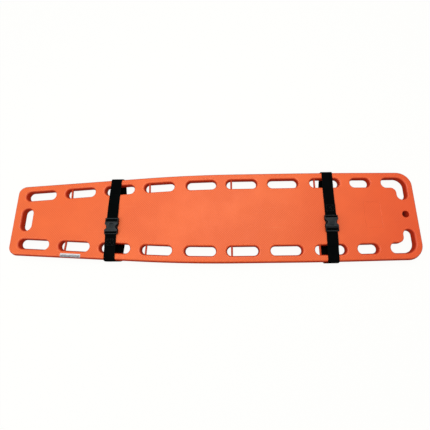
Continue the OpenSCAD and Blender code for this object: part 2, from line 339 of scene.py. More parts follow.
def pin_plastic():
    m, nt, sh = material("pin_plastic")
    p = coords(nt)
    n1 = noise(nt, p, 30.0, 3.0)
    base = mixc(nt, span(nt, n1, 0.35, 0.7), PIN_A, PIN_B)
    rub = calc(nt, "MULTIPLY", attr(nt, "wear"), span(nt, noise(nt, p, 140.0, 4.0), 0.45, 0.65))
    base = mixc(nt, calc(nt, "MULTIPLY", rub, 0.35), base, (0.62, 0.20, 0.10))
    nt.links.new(base, sh.inputs["Base Color"])
    nt.links.new(span(nt, n1, 0.3, 0.7, 0.52, 0.64), sh.inputs["Roughness"])
    sh.inputs["Specular IOR Level"].default_value = 0.18
    b = put(nt, "ShaderNodeBump", {"Strength": 0.3, "Distance": 0.0002, "Height": noise(nt, p, 600.0, 2.0)})
    nt.links.new(b.outputs[0], sh.inputs["Normal"])
    return m


def foam_material():
    m, nt, sh = material("closed_cell_foam")
    p = coords(nt)
    cell = put(nt, "ShaderNodeTexVoronoi", {"Vector": p, "Scale": 420.0}).outputs[0]
    base = mixc(nt, span(nt, cell, 0.1, 0.7), (0.80, 0.72, 0.50), (0.88, 0.83, 0.66))
    base = mixc(nt, span(nt, noise(nt, p, 12.0), 0.3, 0.7, 0.0, 0.5), base, (0.76, 0.66, 0.42))
    nt.links.new(base, sh.inputs["Base Color"])
    nt.links.new(span(nt, cell, 0.1, 0.7, 0.95, 0.8), sh.inputs["Roughness"])
    b = put(nt, "ShaderNodeBump", {"Strength": 0.6, "Distance": 0.0006, "Height": cell})
    nt.links.new(b.outputs[0], sh.inputs["Normal"])
    return m


def web_material(name="woven_webbing", dark=(0.0008, 0.0012, 0.0013), light=(0.0024, 0.0032, 0.0034)):
    m, nt, sh = material(name)
    uv = put(nt, "ShaderNodeTexCoord").outputs["UV"]
    s = put(nt, "ShaderNodeSeparateXYZ", {0: uv})
    u, v = s.outputs[0], s.outputs[1]
    # warp ribs 2.3 mm apart, with a twill that turns back in every other rib
    col = calc(nt, "DIVIDE", u, 2.3)
    odd = calc(nt, "SUBTRACT", calc(nt, "MULTIPLY", calc(nt, "MODULO", calc(nt, "FLOOR", calc(nt, "ADD", col, 100.0)), 2.0), 2.0), 1.0)
    rib = calc(nt, "ABSOLUTE", calc(nt, "SINE", calc(nt, "MULTIPLY", col, math.pi)))
    phase = calc(nt, "ADD", calc(nt, "MULTIPLY", v, 2 * math.pi / 1.45), calc(nt, "MULTIPLY", odd, calc(nt, "MULTIPLY", u, 2 * math.pi / 3.1)))
    twill = span(nt, calc(nt, "SINE", phase), -1.0, 1.0)
    yarn = calc(nt, "MULTIPLY", calc(nt, "POWER", rib, 0.6), calc(nt, "ADD", 0.45, calc(nt, "MULTIPLY", twill, 0.55)))
    p = coords(nt)
    fuzz = noise(nt, p, 1500.0, 2.0)
    dust = span(nt, noise(nt, p, 25.0, 4.0), 0.42, 0.72)
    base = mixc(nt, yarn, dark, light)
    base = mixc(nt, calc(nt, "MULTIPLY", dust, 0.06), base, (0.014, 0.014, 0.014))
    worn = calc(nt, "MULTIPLY", attr(nt, "wear"), span(nt, noise(nt, p, 300.0, 3.0), 0.4, 0.6))
    base = mixc(nt, calc(nt, "MULTIPLY", worn, 0.35), base, (0.012, 0.012, 0.013))
    nt.links.new(base, sh.inputs["Base Color"])
    nt.links.new(span(nt, yarn, 0.0, 1.0, 0.95, 0.82), sh.inputs["Roughness"])
    h = calc(nt, "ADD", yarn, calc(nt, "MULTIPLY", fuzz, 0.25))
    b = put(nt, "ShaderNodeBump", {"Strength": 0.75, "Distance": 0.0004, "Height": h})
    nt.links.new(b.outputs[0], sh.inputs["Normal"])
    sh.inputs["Specular IOR Level"].default_value = 0.015
    return m


def buckle_material(name, tone_a, tone_b, gloss):
    m, nt, sh = material(name)
    p = coords(nt)
    n1 = noise(nt, p, 45.0, 4.0)
    base = mixc(nt, span(nt, n1, 0.35, 0.7), tone_a, tone_b)
    wear = attr(nt, "wear")
    rub = calc(nt, "MULTIPLY", wear, span(nt, noise(nt, p, 420.0, 5.0, 0.65), 0.4, 0.62))
    base = mixc(nt, calc(nt, "MULTIPLY", rub, 0.5), base, (0.046, 0.054, 0.062))
    nt.links.new(base, sh.inputs["Base Color"])
    r = calc(nt, "ADD", span(nt, n1, 0.3, 0.7, 0.34, 0.46), calc(nt, "MULTIPLY", rub, 0.1))
    nt.links.new(r, sh.inputs["Roughness"])
    grit = put(nt, "ShaderNodeTexVoronoi", {"Vector": p, "Scale": 1900.0}).outputs[0]
    b = put(nt, "ShaderNodeBump", {"Strength": 0.25, "Distance": 0.0001, "Height": grit})
    nt.links.new(b.outputs[0], sh.inputs["Normal"])
    sh.inputs["Specular IOR Level"].default_value = gloss
    return m


def thread_material():
    m, nt, sh = material("bonded_thread")
    p = coords(nt)
    base = mixc(nt, span(nt, noise(nt, p, 900.0, 2.0), 0.3, 0.7), (0.008, 0.008, 0.009), (0.022, 0.022, 0.024))
    nt.links.new(base, sh.inputs["Base Color"])
    sh.inputs["Roughness"].default_value = 0.55
    b = put(nt, "ShaderNodeBump", {"Strength": 0.4, "Distance": 0.0001, "Height": noise(nt, coords(nt, (3000.0, 3000.0, 900.0)), 1.0, 1.0)})
    nt.links.new(b.outputs[0], sh.inputs["Normal"])
    return m


def label_material():
    """Plain white film with one hatched grey band along it."""
    m, nt, sh = material("label_film")
    uv = put(nt, "ShaderNodeTexCoord").outputs["UV"]
    s = put(nt, "ShaderNodeSeparateXYZ", {0: uv})
    u, v = s.outputs[0], s.outputs[1]
    p = coords(nt)
    base = mixc(nt, span(nt, noise(nt, p, 55.0, 3.0), 0.3, 0.7), (0.62, 0.62, 0.64), (0.76, 0.76, 0.78))
    # a hatched band along the rail, with a plain margin all round it
    wave = calc(nt, "SINE", calc(nt, "MULTIPLY", calc(nt, "ADD", u, calc(nt, "MULTIPLY", v, 0.6)), 2 * math.pi / 2.4))
    hatch = span(nt, wave, -0.85, -0.5)
    band = calc(nt, "MULTIPLY", span(nt, v, 6.0, 6.6), span(nt, v, 17.0, 16.4))
    band = calc(nt, "MULTIPLY", band, span(nt, calc(nt, "ABSOLUTE", u), 44.4, 43.8))
    band = calc(nt, "MULTIPLY", band, span(nt, noise(nt, p, 160.0, 3.0), 0.32, 0.5, 0.80, 1.0))
    base = mixc(nt, calc(nt, "MULTIPLY", calc(nt, "MULTIPLY", hatch, band), 0.92), base, (0.030, 0.034, 0.055))
    grime = calc(nt, "MULTIPLY", attr(nt, "wear"), span(nt, noise(nt, p, 180.0, 4.0), 0.35, 0.6))
    base = mixc(nt, calc(nt, "MULTIPLY", grime, 0.5), base, (0.42, 0.34, 0.30))
    nt.links.new(base, sh.inputs["Base Color"])
    nt.links.new(span(nt, noise(nt, p, 90.0), 0.3, 0.7, 0.28, 0.42), sh.inputs["Roughness"])
    b = put(nt, "ShaderNodeBump", {"Strength": 0.2, "Distance": 0.0003, "Height": noise(nt, p, 70.0, 3.0)})
    nt.links.new(b.outputs[0], sh.inputs["Normal"])
    return m


ORANGE_A = (0.910, 0.160, 0.035)
ORANGE_B = (0.870, 0.138, 0.028)
ORANGE_C = (0.930, 0.178, 0.043)
# painted shade for the hollows of the stipple
ORANGE_PIT_SHADE = (0.600, 0.066, 0.015)
# painted shade of the walls, fillets and sides
ORANGE_WALL_SHADE = (0.570, 0.032, 0.0065)
# painted shade: the pins' orange is set deeper than the shell's, for pins that sit down in the slots
PIN_A = (0.58, 0.052, 0.013)
PIN_B = (0.48, 0.041, 0.010)
BUCKLE_A = (0.0045, 0.0090, 0.0115)
BUCKLE_B = (0.0085, 0.0130, 0.0155)

MAT_SHELL = orange_plastic()
MAT_PIN = pin_plastic()
MAT_FOAM = foam_material()
MAT_WEB = web_material()
MAT_BUCKLE = buckle_material("buckle_plastic", BUCKLE_A, BUCKLE_B, 0.34)
# painted shade: a darker copy of the buckle plastic for the faces that are not textured tops, such as sides, inner
# faces, lower plate, plug block and arms
MAT_BUCKLE_SHADED = buckle_material("buckle_plastic_shaded", (0.0020, 0.0035, 0.0045), (0.0040, 0.0058, 0.0070), 0.12)
MAT_THREAD = thread_material()
MAT_LABEL = label_material()


# ---------------------------------------------------------------- the board
def board_outline():
    xa, xb = -HL, HL
    foot = arc(xa + FOOT_R, side(xa + FOOT_R) - FOOT_R, FOOT_R, 180, 93.46, 24)
    rail = np.array([[x, side(x)] for x in np.linspace(-870, 840, 340)])
    head = arc(xb - HEAD_R, side(xb - HEAD_R) - HEAD_R, HEAD_R, 89.2, 0, 36)
    up = np.vstack([foot, rail, head])
    return ccw(resample(np.vstack([up, up[::-1] * [1, -1]]), 4.0))


def stadium(l, w):
    h = (l - w) / 2
    return np.vstack([arc(h, 0, w / 2, -90, 90, 24), arc(-h, 0, w / 2, 90, 270, 24)])


def corner_curve():
    xo, yo, w, ro, ri = 895.5, 175.5, 46.0, 45.0, 27.0
    r = w / 2
    xc, yc = xo - r, yo - r
    return np.vstack([
        arc(807.5, yc, r, 90, 270, 24),
        arc(xo - w - ri, yo - w - ri, ri, 90, 0, 16),
        arc(xc, 93.5, r, 180, 360, 24),
        arc(xo - ro, yo - ro, ro, 0, 90, 24),
    ])


def openings():
    """(closed curve, kind) of every opening."""
    out = []
    for s in (1, -1):
        for i, x in enumerate(SLOT_X):
            c = stadium(float(SLOT_L[i]), SLOT_W)
            a = s * lean(x)
            rot = np.array([[math.cos(a), -math.sin(a)], [math.sin(a), math.cos(a)]])
            out.append((c @ rot.T + [x, s * (side(x) - SLOT_INSET)], "slot"))
    out.append((stadium(103.0, 48.0)[:, ::-1] + [-864.5, 0], "slot"))
    out.append((corner_curve(), "slot"))
    out.append((corner_curve() * [1, -1], "slot"))
    out.append((arc(872.5, 0, 15.0, 0, 360, 48)[:-1], "hole"))
    return [(ccw(resample(c, 3.0 if k == "slot" else 2.2)), k) for c, k in out]


def half_profile(gw, r, gm, ridge, top, mid, sign):
    """Rows (offset, z, wear, grain) from the flat face round the fillet and down the wall to the parting line."""
    rows = [(gw + r + 1.6, top, 0.0, 1.0)]
    for a in np.radians(np.linspace(0, 90, 9)):
        w = math.sin(2 * a) ** 2 if 0 < a < math.pi / 2 else 0.0
        rows.append((gw + r - r * math.sin(a), top - sign * r * (1 - math.cos(a)), w, 0.75 - 0.5 * math.sin(a)))
    z1, z2 = top - sign * r, mid + sign * 1.1
    for t in (0.3, 0.6, 0.85, 1.0):
        rows.append((gw + (gm - gw) * t, z1 + (z2 - z1) * t, 0.0, 0.2))
    rows.append((gm + ridge, mid + sign * 0.45, 0.5, 0.0))
    return rows


def full_profile(gw, r, gm, ridge):
    a = half_profile(gw, r, gm, ridge, ZT, ZM, 1)
    b = half_profile(gw, r, gm, ridge, ZR, ZM, -1)
    return a + b[::-1]


def runner_curve():
    """Outline of the runner on the +Y side, seen from above."""
    r = RUN_W / 2
    ya, yb = side(-748) - RUN_INSET, side(728) - RUN_INSET
    mid = np.array([[x, side(x) - RUN_INSET] for x in np.linspace(-748, 728, 240)])
    return ccw(resample(np.vstack([
        mid + [0, r], arc(728, yb, r, 88, -92, 24), mid[::-1] - [0, r], arc(-748, ya, r, -87, -266, 24),
    ]), 4.0))


def slot_profile():
    """Wall of a handhold: rounded at the top, drawn in towards the bottom by the mould's draft."""
    r, rb, wt, wb = 8.0, 3.0, 0.0, -2.2
    rows = [(wt + r + 1.6, ZT, 0.0, 1.0)]
    for a in np.radians(np.linspace(0, 90, 9)):
        rows.append((wt + r - r * math.sin(a), ZT - r * (1 - math.cos(a)), math.sin(2 * a) ** 2, 0.75 - 0.5 * math.sin(a)))
    z1, z2 = ZT - r, ZR + rb
    for t in np.linspace(0, 1, 8)[1:]:
        rows.append((wt + (wb - wt) * t, z1 + (z2 - z1) * t, 0.0, 0.1))
    for a in np.radians(np.linspace(90, 0, 7))[1:]:
        rows.append((wb + rb - rb * math.sin(a), ZR + rb * (1 - math.cos(a)), math.sin(2 * a) ** 2, 0.3))
    rows.append((wb + rb + 1.4, ZR, 0.0, 1.0))
    return rows


def hole_profile():
    """Wall of the round hole, all the way down through its boss."""
    rows = [(4.6, ZT, 0.0, 1.0)]
    for a in np.radians(np.linspace(0, 90, 7)):
        rows.append((3.2 - 3.2 * math.sin(a), ZT - 3.2 * (1 - math.cos(a)), math.sin(2 * a) ** 2, 0.75 - 0.5 * math.sin(a)))
    for t in np.linspace(0, 1, 10)[1:]:
        rows.append((0.0, ZT - 3.2 + (Z0 + 1.5 - ZT + 3.2) * t, 0.0, 0.0))
    rows += [(0.5, Z0 + 0.5, 0.3, 0.2), (1.5, Z0, 0.2, 0.6)]
    return rows


def raised(b, c, r):
    """Side of something that stands out under the board, with a fillet of radius r at its root.
    Returns the curve at the underside and the one that it stands on."""
    c = ccw(c)
    n = normals2(c)
    prof = [(r + 1.2, ZR, 0.0, 1.0)]
    for a in np.radians(np.linspace(0, 90, 7)):
        prof.append((r * (1 - math.sin(a)), ZR - r * (1 - math.cos(a)), 0.0, 0.8))
    prof.append((-0.1, Z0 + 14.0, 0.0, 0.6))
    k = 6.0 if r > 3.5 else 2.2
    for a in np.radians(np.linspace(0, 90, 8)):
        prof.append((-0.2 - k * (1 - math.cos(a)), Z0 + 1.25 * k * (1 - math.sin(a)), math.sin(2 * a) ** 2, 0.6))
    prof.append((-0.2 - k - 1.4, Z0, 0.3, 1.0))
    rings = [np.c_[c + n * e, np.full(len(c), z)] for e, z, _, _ in prof]
    idx = b.rings(rings, [(w, g) for _, _, w, g in prof], flip=True)
    return (idx[0], rings[0][:, :2]), (idx[-1], rings[-1][:, :2])


def make_board():
    b = Build()
    out = board_outline()
    nrm = normals2(out)
    # offsets are towards the material's inside: an inset for the outline
    prof = full_profile(2.5, 9.0, 0.0, -0.25)
    rings, marks = [], []
    for e, z, w, g in prof:
        p = out - nrm * e
        rings.append(np.c_[p, np.full(len(p), z)])
        marks.append((w, g))
    idx = b.rings(rings, marks, flip=True)
    top_outer, bot_outer = (idx[0], rings[0][:, :2]), (idx[-1], rings[-1][:, :2])
    top_holes, bot_holes = [], []
    for c, kind in openings():
        n = normals2(c)
        prof = slot_profile() if kind == "slot" else hole_profile()
        rings, marks = [], []
        for g, z, w, gr in prof:
            p = c + n * g
            rings.append(np.c_[p, np.full(len(p), z)])
            marks.append((w, gr))
        idx = b.rings(rings, marks, flip=False)
        top_holes.append((idx[0], rings[0][:, :2]))
        if kind == "hole":
            # the boss round it reaches down as far as the runners
            boss = arc(872.5, 0, 25.0, 0, 360, 72)[:-1]
            root, foot = raised(b, boss, 3.0)
            bot_holes.append(root)
            b.plane(foot, [(idx[-1], rings[-1][:, :2])], Z0, False, (0.25, 1.0))
        else:
            bot_holes.append((idx[-1], rings[-1][:, :2]))
    # the shallow rectangle near the head
    h = np.array([38.0, 61.0])
    rect = np.vstack([
        arc(h[0] - 3, h[1] - 3, 3, 0, 90, 5), arc(-h[0] + 3, h[1] - 3, 3, 90, 180, 5),
        arc(-h[0] + 3, -h[1] + 3, 3, 180, 270, 5), arc(h[0] - 3, -h[1] + 3, 3, 270, 360, 5),
    ]) + [725.0, 0.0]
    rect = ccw(rect)
    n = normals2(rect)
    rings, marks = [], []
    # the negative wear marks in the step key its painted shade
    for e, dz, w in ((-2.0, 0.0, 0.0), (-0.8, 0.0, 0.1), (-0.3, -0.08, 0.2), (1.1, -0.72, -0.3), (1.6, -0.8, -1.0), (2.1, -0.8, 0.0), (3.2, -0.8, 0.0)):
        p = rect - n * e
        rings.append(np.c_[p, np.full(len(p), ZT + dz)])
        marks.append((w, 1.0))
    idx = b.rings(rings, marks, flip=False)
    top_holes.append((idx[0], rings[0][:, :2]))
    b.plane((idx[-1], rings[-1][:, :2]), [], ZT - 0.8, True)
    b.plane(top_outer, top_holes, ZT, True)
    # the runners
    for s in (1, -1):
        root, foot = raised(b, runner_curve() * [1, s], 4.0)
        bot_holes.append(root)
        b.plane(foot, [], Z0, False, (0.25, 1.0))
    b.plane(bot_outer, bot_holes, ZR, False)
    o = b.make("board_moulding", MAT_SHELL)
    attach(o, "board")
    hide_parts("board_shell")
    return o


make_board()

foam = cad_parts["foam_core"]
foam.data.materials.clear()
foam.data.materials.append(MAT_FOAM)

# ---------------------------------------------------------------- clip pins
PIN_X = [-674.5, -305.5, 82, 475.5]
PIN_SLOT = [1, 3, 5, 7]


def lathe(b, centre, axis, up, rows, n=24, marks=None, flip=False):
    """Skin of (distance along axis, radius) rows about a line."""
    centre, axis, up = (np.array(q, float) for q in (centre, axis, up))
    right = np.cross(axis, up)
    t = np.linspace(0, 2 * math.pi, n, endpoint=False)
    rings = [centre + axis * s + r * (np.cos(t)[:, None] * up + np.sin(t)[:, None] * right) for s, r in rows]
    idx = b.rings(rings, marks, flip=flip)
    b.fan(idx[0], n, flip=not flip)
    b.fan(idx[-1], n, flip=flip)
    return idx


def make_pin(k, s):
    i = PIN_SLOT[k]
    a = lean(SLOT_X[i])
    y = s * (side(SLOT_X[i]) - SLOT_INSET + (PIN_X[k] - SLOT_X[i]) * math.tan(a))
    ax = np.array([-math.sin(s * a), math.cos(s * a), 0.0])
    b = Build()
    half = 25.5
    rows, marks = [], []
    for t in np.linspace(-half, half, 41):
        e = max(0.0, abs(t) - 15.5) / (half - 15.5)
        rows.append((t, 4.25 + 2.0 * e ** 3))
        marks.append((1.0 if abs(t) < 11 else 0.3, 0.0))
    lathe(b, (PIN_X[k], y, ZM), ax, (0, 0, 1), rows, 28, marks)
    # flash line left by the mould, along both sides
    for sg in (-1, 1):
        sideways = np.array([ax[1], -ax[0], 0.0]) * sg
        ring = []
        for t in np.linspace(-15, 15, 9):
            c = np.array([PIN_X[k], y, ZM]) + ax * t + sideways * 4.17
            ring.append(np.array([c + [0, 0, 0.35], c + sideways * 0.28, c - [0, 0, 0.35]]))
        b.rings(ring, [(0.6, 0.0)] * len(ring), closed=False, flip=sg > 0)
    name = ("r" if s < 0 else "l") + str(2 * k + 2)
    o = b.make("moulded_pin_" + name, MAT_PIN)
    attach(o, "board")
    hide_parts("clip_pin_" + name)


for _k in range(4):
    for _s in (-1, 1):
        make_pin(_k, _s)


# ---------------------------------------------------------------- rail label
def make_label():
    xl, a = -641.0, lean(-641.0)
    turn = np.radians(np.linspace(0, 62, 14))
    path = np.vstack([[[20.0, ZT], [16.0, ZT]], np.c_[11.5 - 9.0 * np.sin(turn), ZT - 9.0 * (1 - np.cos(turn))]])
    d = np.gradient(path, axis=0)
    d /= np.linalg.norm(d, axis=1)[:, None]
    nrm = np.c_[d[:, 1], -d[:, 0]]  # away from the board
    nrm *= np.where(nrm[:, 1:2] < 0, -1, 1)
    s = np.r_[0, np.cumsum(np.linalg.norm(np.diff(path, axis=0), axis=1))]
    fine = np.unique(np.r_[np.linspace(0, s[-1], 34)])
    px, pz = np.interp(fine, s, path[:, 0]), np.interp(fine, s, path[:, 1])
    nx, nz = np.interp(fine, s, nrm[:, 0]), np.interp(fine, s, nrm[:, 1])
    us = np.linspace(-46, 46, 47)
    b = Build()
    ex = np.array([math.cos(a), -math.sin(a)])
    ey = np.array([math.sin(a), math.cos(a)])
    origin = np.array([xl, -side(xl)])

    def grid(lift):
        rings, marks, uvs = [], [], []
        for k in range(len(fine)):
            # round the film's corners a little
            q = min(fine[k], fine[-1] - fine[k])
            cut = 3.0 - math.sqrt(max(0.0, 9.0 - (3.0 - min(q, 3.0)) ** 2))
            uu = np.clip(us, -46 + cut, 46 - cut)
            bump = 0.05 * np.sin(uu / 7.0 + 2.0) * math.sin(fine[k] / 4.0)
            lift_k = lift + (bump if lift > 0.1 else 0)
            ee = px[k] + nx[k] * lift_k
            zz = pz[k] + nz[k] * lift_k
            pts = origin + np.outer(uu, ex) + np.outer(np.broadcast_to(ee, uu.shape), ey)
            rings.append(np.c_[pts, np.broadcast_to(zz, uu.shape)])
            near = np.maximum(np.abs(uu) - 43, 0) / 3
            w = np.maximum(near, 1.0 if q < 1.5 else 0.0)
            marks.append(np.c_[w, np.zeros(len(uu))])
            uvs.append(np.c_[uu, np.full(len(uu), fine[k])])
        return rings, marks, uvs

    top, mk, uv = grid(0.3)
    low, mk2, uv2 = grid(0.02)
    i1 = b.rings(top, mk, closed=False, uvs=uv, flip=True)
    i2 = b.rings(low, mk2, closed=False, uvs=uv2, flip=False)
    n = len(us)
    rim_a = [i1[0] + i for i in range(n)] + [k + n - 1 for k in i1[1:]] + [i1[-1] + i for i in range(n - 2, -1, -1)] + [k for k in i1[-2:0:-1]]
    rim_b = [i2[0] + i for i in range(n)] + [k + n - 1 for k in i2[1:]] + [i2[-1] + i for i in range(n - 2, -1, -1)] + [k for k in i2[-2:0:-1]]
    m = len(rim_a)
    for i in range(m):
        j = (i + 1) % m
        b.f.append((rim_a[i], rim_a[j], rim_b[j], rim_b[i]))
    o = b.make("label_film", MAT_LABEL, uv=True)
    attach(o, "board")
    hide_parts("rail_label")


make_label()


# ---------------------------------------------------------------- webbing
def smooth_path(pts, step):
    """Evenly spaced points on an open curve through pts, by Catmull-Rom."""
    p = np.asarray(pts, float)
    q = np.vstack([2 * p[0] - p[1], p, 2 * p[-1] - p[-2]])
    out = []
    for i in range(1, len(q) - 2):
        a, b, c, d = q[i - 1 : i + 3]
        for t in np.linspace(0, 1, 12, endpoint=False):
            out.append(0.5 * (2 * b + (c - a) * t + (2 * a - 5 * b + 4 * c - d) * t * t + (3 * b - a - 3 * c + d) * t ** 3))
    out.append(p[-1])
    return even(np.array(out), step)


def even(out, step):
    s = np.r_[0, np.cumsum(np.linalg.norm(np.diff(out, axis=0), axis=1))]
    keep = np.r_[True, np.diff(s) > 1e-9]
    out, s = out[keep], s[keep]
    n = max(2, int(round(s[-1] / step)) + 1)
    t = np.linspace(0, s[-1], n)
    return np.c_[[np.interp(t, s, out[:, k]) for k in range(out.shape[1])]].T


def section(w, t, n=20):
    """Cross-section of webbing, counter-clockwise: (across, through)."""
    r = t / 2
    xs = np.linspace(-(w / 2 - r), w / 2 - r, n)
    right = arc(w / 2 - r, 0, r, -90, 90, 8)[1:-1]
    left = arc(-(w / 2 - r), 0, r, 90, 270, 8)[1:-1]
    return np.vstack([np.c_[xs, np.full(n, -r)], right, np.c_[xs[::-1], np.full(n, r)], left])


def sweep(b, path, xshift, w=WEB_W, t=WEB_T, v0=0.0, cap=(True, True), curl=0.0):
    """Webbing along path, rows (y, z) in mm. xshift is its place along the board at each row."""
    d = np.gradient(path, axis=0)
    d /= np.linalg.norm(d, axis=1)[:, None]
    nrm = np.c_[-d[:, 1], d[:, 0]]
    s = np.r_[0, np.cumsum(np.linalg.norm(np.diff(path, axis=0), axis=1))] + v0
    sec = section(w, t)
    rings, marks, uvs = [], [], []
    for k in range(len(path)):
        lift = sec[:, 1] + curl * (np.abs(sec[:, 0]) / (w / 2)) ** 4
        y = path[k, 0] + nrm[k, 0] * lift
        z = path[k, 1] + nrm[k, 1] * lift
        rings.append(np.c_[xshift[k] + sec[:, 0], y, z])
        marks.append(np.c_[(np.abs(sec[:, 0]) > w / 2 - 1.6) * 1.0, np.zeros(len(sec))])
        uvs.append(np.c_[sec[:, 0], np.full(len(sec), s[k])])
    idx = b.rings(rings, marks, uvs=uvs, flip=False)
    if cap[0]:
        b.fan(idx[0], len(sec), flip=True)
    if cap[1]:
        b.fan(idx[-1], len(sec), flip=False)
    return s[-1]


def stitch_rows(path_fn, segs, step=3.4, length=2.5, r=0.33):
    """Small raised stitches along segments given in strap coordinates."""
    b = Build()
    for (u0, v0), (u1, v1) in segs:
        a, e = np.array([u0, v0]), np.array([u1, v1])
        dist = np.linalg.norm(e - a)
        n = max(1, int(dist / step))
        for i in range(n):
            c = a + (e - a) * (i + 0.5) / n
            d = (e - a) / dist
            t = np.linspace(0, 2 * math.pi, 8, endpoint=False)
            p0 = path_fn(*(c - d * length / 2))
            p1 = path_fn(*(c + d * length / 2))
            ax = (p1 - p0) / np.linalg.norm(p1 - p0)
            up = np.array([0, 0, 1.0])
            up = up - ax * (ax @ up)
            up /= np.linalg.norm(up)
            rt = np.cross(ax, up)
            rings = []
            for q, rad in ((0.0, 0.05), (0.12, 0.7), (0.35, 1.0), (0.65, 1.0), (0.88, 0.7), (1.0, 0.05)):
                cen = p0 + (p1 - p0) * q - up * (0.25 * abs(2 * q - 1) ** 2)
                rings.append(cen + r * rad * (np.cos(t)[:, None] * up * 0.8 + np.sin(t)[:, None] * rt))
            b.rings(rings, flip=True)
    return b


def make_strap(name):
    S = STRAPS[name]
    x0, ym, d = S["x"], S["mouth"], S["d"]
    hw = (side(x0 + WEB_W / 2) if name == "foot" else WM) + WEB_GAP
    rw = hw - RUN_INSET + RUN_W / 2
    zs = ZT + WEB_GAP + WEB_T / 2  # middle of the strand on top of the board
    zu = WEB_T / 2
    yb = ym - d * 46.2             # the socket's bar
    zbar = ZB + 4.4
    # how far the band strays along the board: (y on top) and (y underneath)
    if name == "foot":
        top_y, top_x = [-200, -150, -70, 0, 100, 185], [-0.5, -2.5, -3.5, -3.0, -2.5, 0.8]
        und_y, und_x = [-212, -190, -150, -60, 60, 150, 185], [30.0, 25.0, 20.0, 16.5, 12.5, 9.5, 8.0]
    else:
        top_y, top_x = [-210, -150, -70, 0, 100, 210], [-3.5, -1.5, 0.8, 1.3, 2.0, 3.5]
        und_y, und_x = [-210, -150, -60, 60, 150, 210], [-19.5, -18.0, -11.0, -5.5, -2.0, 1.0]
    # path of the sewn end: from the loose edge over the socket's bar, back along the top, round the board
    pts = []
    for v in (62, 50, 38, 28):
        pts.append((yb - d * v, zs + WEB_T + 0.08))
    pts += [(yb - d * 20, zs + 2.1), (yb - d * 13, zs + 3.2), (yb - d * 8.5, zbar + 0.1), (yb - d * 5.2, zbar + 1.6)]
    for a in np.linspace(118, -75, 10):
        pts.append((yb + d * 3.4 * math.cos(math.radians(a)), zbar + 3.4 * math.sin(math.radians(a))))
    pts += [(yb - d * 5, zs + 1.1), (yb - d * 11, zs + 0.15), (yb - d * 18, zs)]
    sewn = smooth_path(pts, 1.2)
    ends = -d                      # the socket side's edge of the board
    rest = [(yb - d * 26, zs)]

    def turn(sign, top_first):
        """Down one edge of the board and in under it to the runner. sign is the edge's side."""
        slack = 3.2 if sign < 0 else 0.8
        c1, c2, c3 = (rw - 5, WEB_T + 5), (hw - 10, ZR - WEB_GAP + 10), (hw - 10, ZT + WEB_GAP - 10)
        dy, dz = c2[0] - c1[0], c2[1] - c1[1]
        lean_in = math.degrees(math.atan2(dz, dy)) - 90 - math.degrees(math.asin(5 / math.hypot(dy, dz)))
        out = np.vstack([
            arc(*c3, 10 + WEB_T / 2, 90, 0, 9), arc(*c2, 10 + WEB_T / 2, 0, lean_in, 9),
            arc(*c1, 5 + WEB_T / 2, lean_in, -90, 5),
        ])
        q = np.clip((ZT - out[:, 1]) / RAIL_T, 0, 1)
        out[:, 0] += slack * np.sin(math.pi * q)
        out = [(sign * y, z) for y, z in out]
        return out if top_first else out[::-1]

    y_first = abs(yb - d * 26)
    rest += [(ends * t, zs) for t in np.arange(y_first + 10, hw - 14, 10)]
    one = turn(ends, True)
    under = [(ends * t, zu) for t in np.arange(rw - 9, -(rw - 9), -12)]
    two = turn(-ends, False)
    y_split = d * 118.0
    over = [(-ends * t, zs) for t in np.arange(hw - 14, 118, -8)] + [(y_split, zs)]
    loop = even(np.array(rest + one + under + two + over), 4.0)
    path = np.vstack([sewn, loop])
    # where along the board each row is
    zmid = path[:, 1] > ZM
    xs = np.where(zmid, np.interp(path[:, 0], top_y, top_x), np.interp(path[:, 0], und_y, und_x))
    # on the board's edges the shift goes over smoothly with height
    on_edge = (path[:, 1] < ZT - 2) & (np.abs(path[:, 0]) > hw - 12)
    for k in np.where(on_edge)[0]:
        q = min(1.0, (ZT - 2 - path[k, 1]) / (RAIL_T - 4))
        q = q * q * (3 - 2 * q)
        y = path[k, 0]
        a, e = np.interp(y, top_y, top_x), np.interp(y, und_y, und_x)
        xs[k] = a + (e - a) * q
    # a long even slide of the edges, so that the band isn't ruler straight
    s = np.r_[0, np.cumsum(np.linalg.norm(np.diff(path, axis=0), axis=1))]
    xs = x0 + xs + 0.35 * np.sin(s / 47.0) + 0.2 * np.sin(s / 19.0 + 1)
    b = Build()
    total = sweep(b, path, xs, curl=0.12)
    o = b.make(name + "_strap_band", MAT_WEB, uv=True)
    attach(o, name + "_strap")
    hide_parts(name + "_webbing")

    # the strand that runs to the plug
    ymid = ym + d * 10.0
    zmid_bar = ZB + 6.5
    pts = [(y_split, zs)] + [(d * t, zs) for t in np.arange(108, abs(ymid + d * 24) if d * (ymid + d * 24) > 0 else 0, -10)]
    y = d * pts[-1][0]
    stop = d * (ymid + d * 14)
    for t in np.arange(y - 8, stop, -8):
        pts.append((d * t, zs))
    pts.append((d * stop, zs))
    strand = even(np.array(pts), 4.0)
    xs2 = x0 + np.interp(strand[:, 0], top_y, top_x) + 0.35 * np.sin((total + np.abs(strand[:, 0] - y_split)) / 47.0) + 0.2 * np.sin((total + np.abs(strand[:, 0] - y_split)) / 19.0 + 1)
    b = Build()
    total2 = sweep(b, strand, xs2, v0=total, curl=0.12)
    o = b.make(name + "_strap_strand", MAT_WEB, uv=True)
    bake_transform(o)

